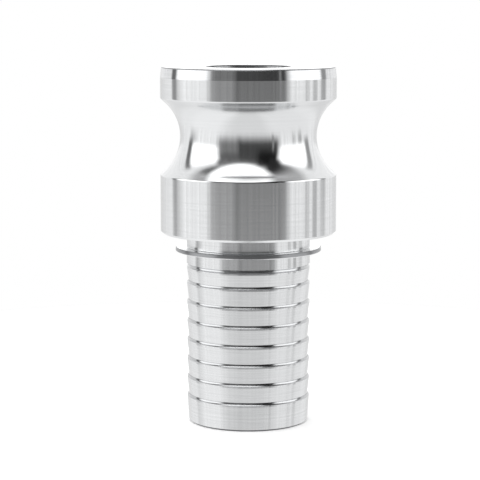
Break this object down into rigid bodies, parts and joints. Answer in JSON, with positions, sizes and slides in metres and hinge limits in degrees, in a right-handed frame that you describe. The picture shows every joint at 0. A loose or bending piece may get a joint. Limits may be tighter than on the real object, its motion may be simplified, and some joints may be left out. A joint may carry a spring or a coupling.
{
  "type": "cam and groove coupling adapter",
  "caption": "One-piece turned metal hose adapter: cam-and-groove head, plain collar, thin ferrule flange and a barbed hose shank with a straight bore.",
  "frame": {"origin": "centre of the shank's free end, on the turning axis, at the surface that the part stands on", "axes": "+Z along the turning axis, from the hose shank up to the coupler head; the part is round, so +X and +Y are free"},
  "size_m": [0.0366, 0.0366, 0.0743],
  "materials": {
    "turned_steel": "fine turned stainless steel, with a polished lead-in and cam groove"
  },
  "bodies": {
    "root": {"adapter": "turned_steel"}
  },
  "joints": []
}
